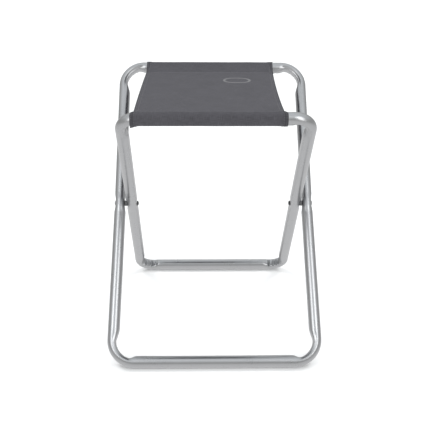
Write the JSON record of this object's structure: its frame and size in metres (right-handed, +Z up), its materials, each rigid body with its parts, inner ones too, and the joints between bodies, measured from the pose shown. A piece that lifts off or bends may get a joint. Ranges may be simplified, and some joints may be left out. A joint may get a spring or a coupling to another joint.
{
  "type": "folding camp stool",
  "caption": "Folding X-frame camp stool with two crossed loops of bent metal tube, riveted at mid-height, and a flat cloth sling seat.",
  "frame": {"origin": "on the ground, midway between the two foot rails and midway between the legs of the two sides", "axes": "+Z up, X along the seat rails and the pivots' common axis, front of the stool at -Y"},
  "size_m": [0.3594, 0.3794, 0.4365],
  "materials": {
    "satin_aluminium": "satin, bright-drawn and anodised",
    "insert_aluminium": "plain drawn, hidden inside the tube",
    "steel": "zinc-plated steel",
    "grey_nylon": "moulded dark grey nylon",
    "black_nylon": "moulded black nylon",
    "seat_cloth": "dark grey plain-weave coated polyester"
  },
  "bodies": {
    "outer_frame": {"outer_frame_tube": "satin_aluminium", "outer_frame_insert": "insert_aluminium", "outer_frame_left_pin": "steel", "outer_frame_right_pin": "steel", "left_pivot_rivet": "steel", "left_pivot_spacer": "grey_nylon", "left_pivot_washer": "steel", "left_pivot_cap": "black_nylon", "right_pivot_rivet": "steel", "right_pivot_spacer": "grey_nylon", "right_pivot_washer": "steel", "right_pivot_cap": "black_nylon", "seat_rear_sleeve": "seat_cloth", "seat_panel": "seat_cloth"},
    "inner_frame": {"inner_frame_tube": "satin_aluminium", "inner_frame_insert": "insert_aluminium", "inner_frame_left_pin": "steel", "inner_frame_right_pin": "steel", "seat_front_sleeve": "seat_cloth"}
  },
  "joints": [
    {"name": "frame_fold", "type": "hinge", "parent": "outer_frame", "child": "inner_frame", "pos_m": [0, 0, 0.22187], "axis": [-1, 0, 0], "range_deg": [0, 75], "deforming": ["seat_panel"]}
  ]
}
